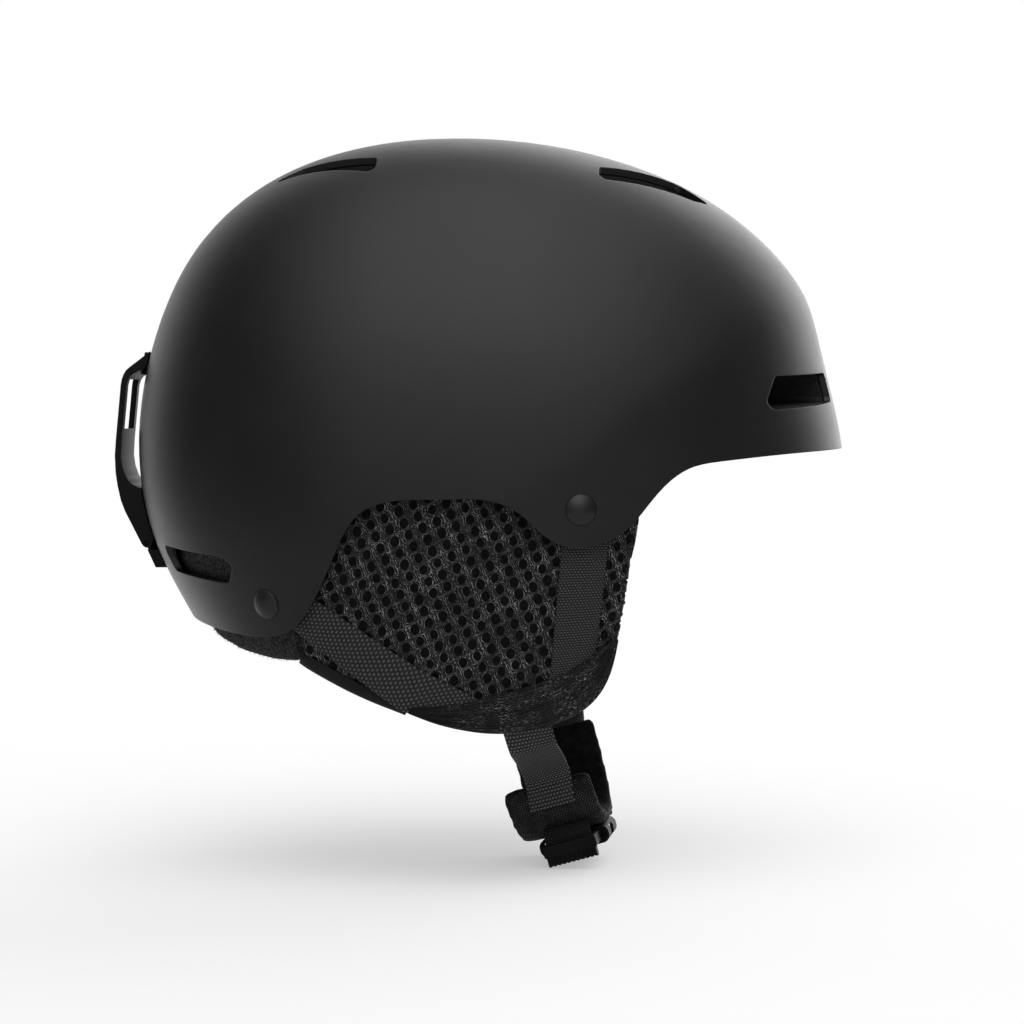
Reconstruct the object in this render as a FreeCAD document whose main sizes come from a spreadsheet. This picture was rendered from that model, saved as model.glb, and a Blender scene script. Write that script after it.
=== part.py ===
# Ski helmet: hard shell, foam liner, soft ear pads, goggle strap retainer and chin strap.
# Frame: +X wearer's left, -Y front, +Z up, millimetres, origin at the head opening.
import FreeCAD
import Part
import Sketcher
import math
import os

V = FreeCAD.Vector
os.makedirs("parts", exist_ok=True)
doc = FreeCAD.newDocument("ski_helmet")

# ---------------------------------------------------------------- sizes
SIZES = {
    "half_width": 110.0,
    "pole_y": 20.0,
    "pole_z": 22.0,
    "shell_wall": 2.6,
    "layer_gap": 0.4,
    "liner_side": 27.0,
    "liner_ends": 33.0,
    "liner_crown": 32.0,
    "comfort_thick": 5.0,
    "web_width": 18.0,
    "web_thick": 1.5,
    "rivet_dia": 12.0,
    "rivet_rise": 2.1,
    "rivet_shank": 4.2,
    "rivet_grip": 5.9,
    "rivet_tail_dia": 6.8,
    "rivet_tail": 0.9,
    "washer_dia": 11.0,
    "washer_hole": 4.8,
    "washer_thick": 0.9,
    "retainer_width": 39.0,
    "retainer_window": 27.0,
    "retainer_window_drop": 20.0,
    "retainer_notch": 16.0,
    "hinge_y": 137.4,
    "hinge_z": 24.0,
    "hinge_pin_dia": 1.8,
    "hinge_bore_dia": 1.94,
    "hinge_barrel": 2.1,
    "catch_z": 97.0,
    "catch_dia": 3.0,
    "catch_length": 4.4,
    "chin_x": -1.3,
    "chin_y": -22.4,
    "chin_z": -45.5,
    "chin_tilt": 15.6,
    "chin_turn": 5.5,
    "chin_pad_width": 33.0,
    "chin_pad_thick": 5.0,
    "buckle_width": 28.6,
    "buckle_height": 7.0,
    "buckle_wall": 1.3,
    "buckle_length": 32.0,
    "buckle_mouth_x": -22.0,
    "buckle_top": 48.0,
    "male_width": 21.6,
    "male_length": 17.4,
    "male_height": 5.0,
    "prong_pivot_x": -21.0,
    "rib_pitch": 1.9,
}
sheet = doc.addObject("Spreadsheet::Sheet", "Sizes")
for row, (alias, value) in enumerate(SIZES.items(), start=1):
    sheet.set("A%d" % row, alias)
    sheet.set("B%d" % row, str(value))
    sheet.setAlias("B%d" % row, alias)
doc.recompute()


def size(alias):
    return float(sheet.get(alias))


# Side profile of the closed egg that the shell is cut from: (Y, Z)
PROFILE = [
    (-141.7, 61.9), (-138.0, 81.1), (-133.2, 100.3), (-127.4, 120.8), (-115.1, 138.8),
    (-93.0, 157.8), (-50.7, 177.2), (10.0, 186.3), (51.5, 182.6), (90.5, 167.6),
    (117.0, 143.5), (135.0, 105.7), (141.5, 64.0), (136.0, 28.0), (118.0, -8.0),
    (90.0, -49.0), (57.0, -73.0), (20.7, -81.0), (-12.0, -77.0), (-60.0, -57.0),
    (-117.0, -20.0), (-139.5, 16.2), (-144.5, 40.0),
]
AROUND = 56
RINGS = 19
SIDES = (("right", -1.0), ("left", 1.0))

profile_curve = Part.BSplineCurve()
profile_curve.interpolate(Points=[V(0, y, z) for y, z in PROFILE], PeriodicFlag=True)


# ---------------------------------------------------------------- egg surface
def fullness_at(out_y, out_z):
    """Squareness of the cross section: fuller at the crown, fullest at the ear pads' foot."""
    reach = math.hypot(out_y, out_z)
    lift = out_z / reach
    return 2.2 + 0.1 * out_y / reach + 0.16 * max(lift, 0.0) ** 2 + 0.8 * max(-lift, 0.0) ** 2


def egg_point(turn, swing):
    """Point of the outer egg: turn 0..1 round the profile, swing -90..90 degrees across."""
    first = profile_curve.FirstParameter
    span = profile_curve.LastParameter - first
    edge = profile_curve.value(first + span * (turn % 1.0))
    out_y = edge.y - size_cache["pole_y"]
    out_z = edge.z - size_cache["pole_z"]
    fullness = fullness_at(out_y, out_z)
    angle = math.radians(swing)
    across = size_cache["half_width"] * math.copysign(abs(math.sin(angle)) ** (2 / fullness), swing)
    reach = max(math.cos(angle), 1e-9) ** (2 / fullness)
    return V(across, size_cache["pole_y"] + reach * out_y, size_cache["pole_z"] + reach * out_z)


def egg_normal(turn, swing):
    step = 1e-3
    along = egg_point(turn + step, swing) - egg_point(turn - step, swing)
    tilt = 0.2 if abs(swing) < 0.5 else 0.05
    across = egg_point(turn, swing + tilt) - egg_point(turn, swing - tilt)
    normal = along.cross(across)
    normal.normalize()
    centre = V(0, size_cache["pole_y"], size_cache["pole_z"])
    if normal.dot(egg_point(turn, swing) - centre) < 0:
        normal = -normal
    return normal


def egg(side, ends=None, crown=None):
    """Solid egg set in from the outer one, by one depth or by three (side, ends, crown)."""
    ends = side if ends is None else ends
    crown = side if crown is None else crown
    wires = []
    for ring in range(1, RINGS - 1):
        swing = -90.0 + 180.0 * ring / (RINGS - 1)
        points = []
        for stop in range(AROUND):
            turn = stop / AROUND
            n = egg_normal(turn, swing)
            depth = side * n.x ** 2 + ends * n.y ** 2 + crown * n.z ** 2
            points.append(egg_point(turn, swing) - n * depth)
        curve = Part.BSplineCurve()
        curve.interpolate(Points=points, PeriodicFlag=True)
        wires.append(Part.Wire(curve.toShape()))
    reach = size_cache["half_width"] - side
    tips = [V(s * reach, size_cache["pole_y"], size_cache["pole_z"]) for s in (-1, 1)]
    return Part.makeLoft([Part.Vertex(tips[0])] + wires + [Part.Vertex(tips[1])], True, False)


size_cache = {name: size(name) for name in SIZES}
layer_cache = {}


def layer(depth):
    if depth not in layer_cache:
        layer_cache[depth] = egg(depth)
    return layer_cache[depth]


def skin(outer, inner):
    return layer(outer).cut(layer(inner))


def on_surface(y, z, side, depth=0.0):
    """Point and outward normal of the outer egg at one side, for a side-view (Y, Z)."""
    out_y = y - size_cache["pole_y"]
    out_z = z - size_cache["pole_z"]
    heading = math.atan2(out_z, out_y)
    best = min(range(2000), key=lambda k: abs(math.remainder(
        math.atan2(samples[k][1], samples[k][0]) - heading, 2 * math.pi)))
    reach = math.hypot(out_y, out_z) / math.hypot(*samples[best])
    fullness = fullness_at(out_y, out_z)
    swing = math.degrees(math.acos(reach ** (fullness / 2)))
    point = egg_point(best / 2000.0, swing * side)
    normal = egg_normal(best / 2000.0, swing * side)
    return point - normal * depth, normal


samples = []
for k in range(2000):
    p = egg_point(k / 2000.0, 0.0)
    samples.append((p.y - size_cache["pole_y"], p.z - size_cache["pole_z"]))


# ---------------------------------------------------------------- outlines
def outline(*runs):
    """Closed wire in the YZ plane: each run is a line (2 points) or a smooth curve (more)."""
    edges = []
    for run in runs:
        points = [V(0, y, z) for y, z in run]
        if len(points) == 2:
            edges.append(Part.makeLine(points[0], points[1]))
        else:
            curve = Part.BSplineCurve()
            curve.interpolate(Points=points)
            edges.append(curve.toShape())
    return Part.Wire(Part.__sortEdges__(edges))


def side_block(wire, start, end):
    """Solid made by pushing a YZ outline across X."""
    block = Part.Face(wire).extrude(V(end - start, 0, 0))
    block.translate(V(start, 0, 0))
    return block


def both_or_side(wire, side, inner=20.0):
    return side_block(wire, 130.0 * side, inner * side)


def rounded(points, radius):
    """Closed wire of straight sides with every corner rounded."""
    edges = []
    count = len(points)
    starts = []
    ends = []
    for k in range(count):
        before = (points[k - 1] - points[k])
        after = (points[(k + 1) % count] - points[k])
        half = before.getAngle(after) / 2
        trim = min(radius / math.tan(half), 0.45 * before.Length, 0.45 * after.Length)
        before.normalize()
        after.normalize()
        inward = before + after
        inward.normalize()
        a = points[k] + before * trim
        b = points[k] + after * trim
        real = trim * math.tan(half)
        centre = points[k] + inward * (real / math.sin(half))
        middle = centre - inward * real
        edges.append(Part.Arc(a, middle, b).toShape())
        starts.append(a)
        ends.append(b)
    for k in range(count):
        edges.append(Part.makeLine(ends[k], starts[(k + 1) % count]))
    return Part.Wire(Part.__sortEdges__(edges))


def mirrored(points):
    return [V(-p.x, p.y, p.z) for p in points][::-1]


def biggest(shape):
    return max(shape.Solids, key=lambda s: s.Volume)


def put(name, shape):
    """Document object holding a ready shape."""
    if len(shape.Solids) == 1:
        shape = shape.Solids[0]
    item = doc.addObject("Part::Feature", name)
    item.Label = name
    item.Shape = shape
    return item


nodes = []


def keep(item):
    nodes.append(item)
    return item


# ---------------------------------------------------------------- shared cut lines
FAR = 160.0
RIM = [
    (-150.0, 62.7), (-122.1, 60.6), (-90.5, 57.7), (-78.6, 55.3), (-69.8, 49.6),
    (-60.6, 39.1), (-51.6, 30.1), (-44.2, 26.9), (-30.4, 26.3), (-21.8, 31.5),
    (-14.5, 38.2), (-5.7, 42.6), (15.7, 43.8), (34.1, 43.1), (46.0, 38.4),
    (54.6, 24.8), (59.7, 13.3), (65.9, 1.6), (74.0, -6.8), (83.0, -9.2),
    (94.5, -8.8), (110.0, -6.6), (118.0, -4.8), (128.0, -2.0), (150.0, 5.0),
]
LINER_EDGE = [
    (-150.0, 67.0), (-103.7, 64.0), (-82.2, 63.0), (-65.4, 60.5), (-45.7, 57.0),
    (-20.1, 58.5), (14.9, 61.0), (37.7, 59.1), (53.5, 50.1), (65.3, 37.2),
    (80.7, 29.7), (107.0, 28.7), (150.0, 28.5),
]


def above(line):
    """Block of everything above a cut line, full width."""
    top = 200.0
    wire = outline(line, [line[-1], (line[-1][0], top)], [(line[-1][0], top), (line[0][0], top)],
                   [(line[0][0], top), line[0]])
    return side_block(wire, -FAR, FAR)


TOP_VENT_FRONT = [(-37.5, -43.7), (-48.4, -43.4), (-31.5, -81.1), (-23.7, -87.9), (-15.3, -75.0)]
TOP_VENT_REAR = [(-43.8, 43.0), (-55.8, 43.4), (-30.8, 88.6), (-31.0, 72.9)]
BROW_VENT = [(-19.3, 92.0), (-60.2, 90.3), (-65.8, 80.3), (-63.8, 77.2), (-19.0, 80.4)]
REAR_VENT = [(-47.2, 24.6), (-49.8, 14.3), (-83.2, 11.0), (-87.4, 18.4), (-84.2, 21.4)]


def plan_cutter(points, low, high, radius):
    wire = rounded([V(x, y, low) for x, y in points], radius)
    return Part.Face(wire).extrude(V(0, 0, high - low))


def front_cutter(points, start, run, radius):
    wire = rounded([V(x, start, z) for x, z in points], radius)
    return Part.Face(wire).extrude(run)


def flipped(shape):
    return shape.mirror(V(0, 0, 0), V(1, 0, 0))


top_cutters = []
for shape in (plan_cutter(TOP_VENT_FRONT, 100, 200, 3.0), plan_cutter(TOP_VENT_REAR, 100, 200, 3.0)):
    top_cutters.append(shape)
    top_cutters.append(flipped(shape))
brow_cutter = front_cutter(BROW_VENT, -150, V(0, 50, 0), 2.5)
rear_cutter = front_cutter(REAR_VENT, 150, V(0, -75, 0), 3.0)
shell_cutters = top_cutters + [brow_cutter, flipped(brow_cutter), rear_cutter, flipped(rear_cutter)]

# ---------------------------------------------------------------- shell and liner
wall = size("shell_wall")
gap = size("layer_gap")
web = size("web_thick")
RIVETS = {"front": (-37.1, 39.9), "rear": (82.6, 3.6)}
bores = []
pockets = {}
for place, (y, z) in RIVETS.items():
    for side_name, side in SIDES:
        point, normal = on_surface(y, z, side)
        pockets[place, side_name] = Part.makeCylinder(6.4, 5.8, point - normal * 2.0, -normal)
        bores.append(Part.makeCylinder(size("washer_hole") / 2, 12.0, point + normal * 3, -normal))

shell = skin(0.0, wall).common(above(RIM))
for cutter in shell_cutters + bores:
    shell = shell.cut(cutter)
keep(put("outer_shell", biggest(shell)))

liner_out = wall + 0.3
cavity = egg(size("liner_side"), size("liner_ends"), size("liner_crown"))
liner = layer(liner_out).cut(cavity).common(above(LINER_EDGE))
for cutter in top_cutters:
    liner = liner.cut(cutter)
for shape in (brow_cutter,):
    channel = front_cutter(BROW_VENT, -142, V(0, 62, 30), 2.5)
    liner = liner.cut(channel).cut(flipped(channel))
    stub = front_cutter(BROW_VENT, -150, V(0, 46, 0), 2.5)
    liner = liner.cut(stub).cut(flipped(stub))
keep(put("eps_liner", biggest(liner)))

# ---------------------------------------------------------------- rivets and washers


def bound(kind, name, **expressions):
    item = doc.addObject(kind, name)
    for prop, text in expressions.items():
        item.setExpression(prop, text)
    return item


def turn_to(direction):
    return FreeCAD.Rotation(V(0, 0, 1), direction)


for place, (y, z) in RIVETS.items():
    for side_name, side in SIDES:
        tag = "rivet_%s_%s" % (place, side_name)
        ball = bound("Part::Sphere", tag + "_ball",
                     Radius="((Sizes.rivet_dia / 2) ^ 2 + Sizes.rivet_rise ^ 2) / (2 * Sizes.rivet_rise)")
        ball.setExpression("Placement.Base.z", "Sizes.rivet_rise - ((Sizes.rivet_dia / 2) ^ 2"
                           " + Sizes.rivet_rise ^ 2) / (2 * Sizes.rivet_rise)")
        drum = bound("Part::Cylinder", tag + "_drum", Radius="Sizes.rivet_dia / 2", Height="4")
        dome = doc.addObject("Part::Common", tag + "_dome")
        dome.Base = ball
        dome.Tool = drum
        shank = bound("Part::Cylinder", tag + "_shank", Radius="Sizes.rivet_shank / 2",
                      Height="Sizes.rivet_grip + 0.3")
        shank.setExpression("Placement.Base.z", "-Sizes.rivet_grip")
        tail = bound("Part::Cylinder", tag + "_tail", Radius="Sizes.rivet_tail_dia / 2",
                     Height="Sizes.rivet_tail")
        tail.setExpression("Placement.Base.z", "-Sizes.rivet_grip - Sizes.rivet_tail")
        rivet = doc.addObject("Part::MultiFuse", tag)
        rivet.Shapes = [dome, shank, tail]
        rivet.Label = tag
        point, normal = on_surface(y, z, side)
        rivet.Placement = FreeCAD.Placement(point + normal * 0.05, turn_to(normal))
        keep(rivet)

        washer_tag = "washer_%s_%s" % (place, side_name)
        body = doc.addObject("PartDesign::Body", washer_tag)
        body.Label = washer_tag
        plane = [f for f in body.Origin.OriginFeatures if f.Role == "XY_Plane"][0]
        ring = body.newObject("Sketcher::SketchObject", washer_tag + "_ring")
        ring.AttachmentSupport = [(plane, "")]
        ring.MapMode = "FlatFace"
        for alias in ("washer_dia", "washer_hole"):
            index = ring.addGeometry(Part.Circle(V(0, 0, 0), V(0, 0, 1), size(alias) / 2), False)
            ring.addConstraint(Sketcher.Constraint("Coincident", index, 3, -1, 1))
            number = ring.addConstraint(Sketcher.Constraint("Radius", index, size(alias) / 2))
            ring.renameConstraint(number, alias)
            ring.setExpression("Constraints." + alias, "Sizes.%s / 2" % alias)
        pad = body.newObject("PartDesign::Pad", washer_tag + "_pad")
        pad.Profile = ring
        pad.setExpression("Length", "Sizes.washer_thick")
        body.Tip = pad
        body.Placement = FreeCAD.Placement(point - normal * (size("rivet_grip") - 0.08), turn_to(normal))
        keep(body)
doc.recompute()

# ---------------------------------------------------------------- comfort pads
# They sit on the inside of the liner, in the gap left to the head.
pad_out = egg(size("liner_side") + gap, size("liner_ends") + gap, size("liner_crown") + gap)
deep = size("comfort_thick") + gap
pad_in = egg(size("liner_side") + deep, size("liner_ends") + deep, size("liner_crown") + deep)
comfort = pad_out.cut(pad_in)


def plan_block(points, low, high, radius):
    return plan_cutter(points, low, high, radius)


def side_panel(points, start, end, radius):
    wire = rounded([V(start, y, z) for y, z in points], radius)
    return Part.Face(wire).extrude(V(end - start, 0, 0))


crown_block = plan_block([(-17, -66), (17, -66), (17, 84), (-17, 84)], 90, 190, 14)
cross_block = plan_block([(-62, -16), (62, -16), (62, 26), (-62, 26)], 90, 190, 12)
keep(put("crown_pad", biggest(comfort.common(crown_block.fuse(cross_block).removeSplitter()))))
brow_block = front_cutter([(-62, 66), (62, 66), (62, 88), (-62, 88)], -140, V(0, 110, 0), 8)
keep(put("brow_pad", biggest(comfort.common(brow_block))))
rear_block = front_cutter([(-52, 34), (52, 34), (52, 92), (-52, 92)], 30, V(0, 110, 0), 12)
keep(put("rear_pad", biggest(comfort.common(rear_block))))
for side_name, side in SIDES:
    block = side_panel([(-52, 66), (56, 66), (48, 98), (-46, 98)], 40 * side, 120 * side, 9)
    keep(put("side_pad_" + side_name, biggest(comfort.common(block))))

# ---------------------------------------------------------------- neck roll
NECK_LOW = [(72.3, -20.2), (89.0, -17.2), (101.6, -13.8), (114.0, -9.8), (132.0, -7.0)]
neck_wire = outline(NECK_LOW, [(132.0, -7.0), (150.0, 26.0)], [(150.0, 26.0), (75.3, 26.0)],
                    [(75.3, 26.0), (72.3, -20.2)])
neck = skin(5.0, 18.0).common(side_block(neck_wire, -FAR, FAR))
for side_name, side in SIDES:
    neck = neck.cut(pockets["rear", side_name])
keep(put("neck_roll", biggest(neck)))

# ---------------------------------------------------------------- ear pads and straps
EAR_FRONT = [(-60.7, 52.5), (-60.4, 38.9), (-58.2, 26.9), (-56.1, 13.3), (-54.1, 0.0),
             (-51.3, -13.5), (-47.2, -27.6), (-40.2, -36.7), (-26.7, -43.3), (-13.5, -45.5),
             (5.3, -44.1), (19.2, -39.7), (48.6, -27.8), (69.9, -17.0)]
ear_wire = outline(EAR_FRONT, [(69.9, -17.0), (73.6, 26.2)], [(73.6, 26.2), (52.4, 47.1)],
                   [(52.4, 47.1), (37.6, 54.6)], [(37.6, 54.6), (-20.3, 54.5)],
                   [(-20.3, 54.5), (-60.7, 52.5)])
BIND_LOW = [(12.8, -44.3), (19.6, -42.0), (49.1, -30.3), (70.1, -19.6)]
BIND_TOP = [(70.0, -17.3), (48.6, -28.2), (19.3, -40.0), (12.6, -42.4)]
bind_wire = outline(BIND_LOW, [BIND_LOW[-1], BIND_TOP[0]], BIND_TOP, [BIND_TOP[-1], BIND_LOW[0]])
SLEEVE_TOP = [(29.8, -36.4), (13.6, -34.5), (-7.3, -30.7), (-24.4, -25.7), (-41.3, -16.6), (-51.6, -8.0)]
SLEEVE_LOW = [(-51.6, -8.0), (-47.3, -27.9), (-40.2, -37.5), (-26.4, -44.2), (-13.1, -46.7),
              (5.8, -45.1), (19.7, -40.9), (29.8, -36.4)]
sleeve_wire = outline(SLEEVE_TOP, SLEEVE_LOW)
FRONT_WEB = [(-48.3, 47.5), (-29.7, 48.2), (-30.1, 26.2), (-25.8, -23.6), (-17.9, -39.2),
             (-34.8, -37.5), (-42.4, -19.6), (-47.4, 26.1)]
REAR_WEB = [(80.6, 16.8), (61.6, 4.1), (23.6, -20.5), (-7.4, -36.8), (-1.9, -43.5),
            (30.7, -36.8), (71.3, -6.8), (89.7, 8.2)]


def polygon(points):
    return Part.makePolygon([V(0, y, z) for y, z in points + points[:1]])


web_out = wall + 0.3
web_in = web_out + web
for side_name, side in SIDES:
    ear = skin(web_in + gap, 15.6).common(both_or_side(ear_wire, side, 62.0))
    ear = ear.cut(pockets["front", side_name])
    keep(put("ear_pad_" + side_name, biggest(ear)))
    lining = skin(16.0, 22.0).common(both_or_side(ear_wire, side, 64.0))
    keep(put("ear_lining_" + side_name, biggest(lining)))
    binding = skin(web_in + gap, 9.5).common(both_or_side(bind_wire, side))
    keep(put("ear_binding_" + side_name, biggest(binding)))
    sleeve = skin(1.0, web_out - 0.3).common(both_or_side(sleeve_wire, side))
    keep(put("strap_sleeve_" + side_name, biggest(sleeve)))
    for place, points in (("front", FRONT_WEB), ("rear", REAR_WEB)):
        strip = skin(web_out, web_in).common(both_or_side(polygon(points), side))
        for bore in bores:
            strip = strip.cut(bore)
        keep(put("strap_%s_%s" % (place, side_name), biggest(strip)))

# ---------------------------------------------------------------- goggle strap retainer
half = size("retainer_width") / 2
hinge = V(0, size("hinge_y"), size("hinge_z"))
barrel = size("hinge_barrel")
OUTER = [(134.6, 101.6), (144.1, 94.4), (145.7, 93.0), (146.7, 91.3), (147.4, 89.4), (147.8, 87.3),
         (149.9, 64.8), (150.3, 58.7), (150.0, 52.0), (149.2, 46.5), (147.9, 40.8), (146.3, 36.6)]
HOOP = [(131.6, 99.2), (144.0, 90.6), (144.9, 89.2), (145.5, 87.2), (147.6, 64.8), (147.9, 58.7),
        (147.3, 54.4), (145.9, 50.4), (143.8, 47.6), (140.8, 46.0), (133.0, 45.4)]
frame_wire = polygon(OUTER + [(139.5, 23.2), (hinge.y - 1.2, hinge.z - 1.2), (hinge.y - 2.1, hinge.z),
                              (130.0, 40.0), (128.0, 101.6)])
retainer = side_block(frame_wire, -half, half)
hoop = side_block(polygon(HOOP + [(120.0, 46.0), (120.0, 91.6), (132.0, 91.6)]), -half - 1, half + 1)
foot = side_block(polygon([(128.0, 91.4), (141.2, 91.4), (139.6, 100.4), (128.0, 100.4)]), -8.0, 8.0)
retainer = retainer.cut(hoop).fuse(foot)
retainer = retainer.fuse(Part.makeCylinder(barrel, 2 * half, hinge - V(half, 0, 0), V(1, 0, 0)))
retainer = retainer.cut(layer(-0.45))
window = size("retainer_window") / 2
drop = size("retainer_window_drop")
retainer = retainer.cut(Part.makeBox(2 * window, 12, drop, V(-window, 143.0, 69.5)))
notch = size("retainer_notch") / 2
knuckle = Part.makeCylinder(barrel + 0.5, 2 * notch, hinge - V(notch, 0, 0), V(1, 0, 0))
knuckle = knuckle.fuse(Part.makeBox(2 * notch, 12, 8, V(-notch, 130.0, 18.4)))
retainer = retainer.cut(knuckle)
retainer = retainer.cut(Part.makeCylinder(size("hinge_bore_dia") / 2, 40, hinge - V(20, 0, 0), V(1, 0, 0)))
catch = V(0, 0, size("catch_z"))
stem = Part.makeCylinder(size("catch_dia") / 2 + 0.5, 20, V(0, 128, catch.z), V(0, 1, 0))
retainer = retainer.cut(stem)
keep(put("goggle_retainer", biggest(retainer)))

tab_wire = polygon([(132.0, 21.1), (137.3, 21.1), (134.0, 14.0), (126.0, 14.0)])
anchor = side_block(tab_wire, -half, half).cut(layer(-0.02))
lug = notch - 0.4
neck_lug = side_block(polygon([(130.0, 20.0), (138.4, 20.0), (139.2, 23.4), (130.0, 24.0)]), -lug, lug)
anchor = anchor.fuse(neck_lug.cut(layer(-0.02)))
anchor = anchor.fuse(Part.makeCylinder(barrel, 2 * lug, hinge - V(lug, 0, 0), V(1, 0, 0)))
anchor = anchor.cut(Part.makeCylinder(size("hinge_bore_dia") / 2, 40, hinge - V(20, 0, 0), V(1, 0, 0)))
anchor = anchor.cut(layer(-0.02))
keep(put("retainer_anchor", biggest(anchor)))

pin = bound("Part::Cylinder", "retainer_pin", Radius="Sizes.hinge_pin_dia / 2",
            Height="Sizes.retainer_width - 1")
pin.Label = "retainer_pin"
pin.Placement = FreeCAD.Placement(hinge - V(half - 0.5, 0, 0), turn_to(V(1, 0, 0)))
keep(pin)

catch_stem = Part.makeCylinder(size("catch_dia") / 2, 12, V(0, 130, catch.z), V(0, 1, 0))
catch_stem = catch_stem.common(Part.makeBox(10, 12, 10, V(-5, 129, catch.z - 5)))
catch_stem = catch_stem.cut(layer(-0.02))
keep(put("retainer_catch", biggest(catch_stem)))

# ---------------------------------------------------------------- chin strap
chin_turn = FreeCAD.Rotation(V(0, 0, 1), -size("chin_turn"))
chin_place = FreeCAD.Placement(V(size("chin_x"), size("chin_y"), size("chin_z")),
                               chin_turn * FreeCAD.Rotation(V(1, 0, 0), -size("chin_tilt")))


def ribbon(points, thick, width, count=40, lean=0.0, shift=0.0):
    """Flat band along a curve drawn in the chin plane (across, down), centred on its width.
    lean moves it sideways per unit of drop, shift moves all of it."""
    curve = Part.BSplineCurve()
    curve.interpolate(Points=[V(x, -width / 2, -down) for x, down in points])
    first = curve.FirstParameter
    span = curve.LastParameter - first
    rails = ([], [])
    for k in range(count + 1):
        t = first + span * k / count
        along = curve.tangent(t)[0]
        out = V(along.z, 0, -along.x)
        out.normalize()
        for rail, sign in zip(rails, (1, -1)):
            rail.append(curve.value(t) + out * (sign * thick / 2))
    edges = []
    for rail in rails:
        smooth = Part.BSplineCurve()
        smooth.interpolate(Points=rail)
        edges.append(smooth.toShape())
    edges.append(Part.makeLine(rails[0][0], rails[1][0]))
    edges.append(Part.makeLine(rails[0][-1], rails[1][-1]))
    face = Part.Face(Part.Wire(Part.__sortEdges__(edges)))
    band = face.extrude(V(0, width, 0))
    if lean:
        shear = FreeCAD.Matrix()
        shear.A23 = -lean
        shear.A24 = shift
        band = band.transformGeometry(shear)
    return band


def put_chin(name, shape):
    item = put(name, shape)
    item.Placement = chin_place
    return item


def block(x0, x1, w, d0, d1, w0=None):
    """Box in the chin plane: across x0..x1, width w0..w (or +-w), down d0..d1."""
    start = -w if w0 is None else w0
    return Part.makeBox(x1 - x0, w - start, d1 - d0, V(x0, start, -d1))


PAD_PATH = [(-41.0, 24.0), (-38.0, 33.0), (-29.5, 41.4), (-16.0, 45.0), (-6.0, 45.0),
            (6.0, 41.4), (13.0, 33.0), (16.0, 20.0), (16.5, 8.0)]
pad_solid = ribbon(PAD_PATH, size("chin_pad_thick"), size("chin_pad_width"), lean=0.001, shift=0.9)
keep(put_chin("chin_pad", pad_solid))
RIGHT_WEB = [(-86.0, 6.0), (-66.0, 12.6), (-51.0, 19.2), (-45.2, 24.0), (-43.4, 28.5), (-41.5, 34.2)]
right_web = ribbon(RIGHT_WEB, web, size("web_width"), lean=0.16, shift=-3.4)
keep(put_chin("strap_lower_right", biggest(right_web.cut(pad_solid))))
LEFT_WEB = [(86.0, 6.0), (62.0, 13.4), (40.0, 21.5), (26.0, 28.0), (18.5, 35.0), (13.2, 41.5),
            (8.4, 45.2), (6.0, 48.5), (5.4, 51.5)]
keep(put_chin("strap_lower_left", ribbon(LEFT_WEB, web, size("web_width"), lean=-0.09, shift=4.5)))

top = size("buckle_top")
base = top + size("buckle_height")
mouth = size("buckle_mouth_x")
tail_x = mouth + size("buckle_length")
bw = size("buckle_width") / 2
bt = size("buckle_wall")
tube = block(mouth, tail_x, bw, top, base)
tube = tube.makeFillet(3.0, [e for e in tube.Edges if abs(e.tangentAt(e.FirstParameter).x) > 0.99])
bore_box = block(mouth - 1, tail_x + 1, bw - bt, top + bt, base - bt)
bore_box = bore_box.makeFillet(0.6, [e for e in bore_box.Edges
                                     if abs(e.tangentAt(e.FirstParameter).x) > 0.99])
female = tube.cut(bore_box)
female = female.fuse(block(mouth + 22.5, tail_x, 10.4, top + 0.5, base - 0.5)).removeSplitter()
female = female.cut(block(tail_x - 6.3, tail_x - 2.2, 9.6, top - 1, base + 1))
for w0, w1 in ((-bw - 1, -bw + bt + 1.6), (bw - bt - 1.6, bw + 1)):
    female = female.cut(block(mouth + 9.5, mouth + 19.5, w1, top + bt + 0.1, base - bt - 0.1, w0))
keep(put_chin("buckle_female", biggest(female)))

male_x = mouth - 0.6
mw = size("male_width") / 2
mid = (top + base) / 2
mh = size("male_height") / 2
male = block(male_x - size("male_length"), male_x, mw, mid - mh, mid + mh)
male = male.makeFillet(1.2, [e for e in male.Edges if abs(e.tangentAt(e.FirstParameter).x) > 0.99])
for x0 in (male_x - 14.6, male_x - 8.0):
    male = male.cut(block(x0, x0 + 2.8, 9.25, top, base))
rail = block(male_x - 1.0, male_x + 17.0, 3.2, mid - 1.3, mid + 1.3)
male = male.fuse(rail).removeSplitter()
for w in (-9.0, 9.0):
    seat = Part.makeCylinder(2.0, 4.4, V(size("prong_pivot_x") - 3.2, w * 0.86, -mid - 2.2), V(0, 0, 1))
    male = male.cut(seat)
    male = male.cut(block(-24.2, male_x + 0.1, w * 0.86 + 1.95, mid - 2.2, mid + 2.2, w * 0.86 - 1.95))
keep(put_chin("buckle_male", biggest(male)))

PRONG = [(-3.2, 1.6), (0.8, 1.3), (9.0, 1.8), (12.2, 4.6), (15.6, 4.6), (18.6, 2.2), (18.2, 0.6),
         (12.8, -0.6), (1.0, -1.2), (-3.2, -1.2)]
for name, side in (("front", -1), ("rear", 1)):
    pivot = V(size("prong_pivot_x") - 3.2, side * 7.74, 0)
    points = [V(pivot.x + 3.2 + x, side * (7.3 + w), -mid - 1.3) for x, w in PRONG]
    arm = Part.Face(Part.makePolygon(points + points[:1])).extrude(V(0, 0, 2.6))
    knob = Part.makeCylinder(1.6, 2.6, V(pivot.x, pivot.y, -mid - 1.3), V(0, 0, 1))
    keep(put_chin("buckle_prong_" + name, biggest(arm.fuse(knob).removeSplitter())))

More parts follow.
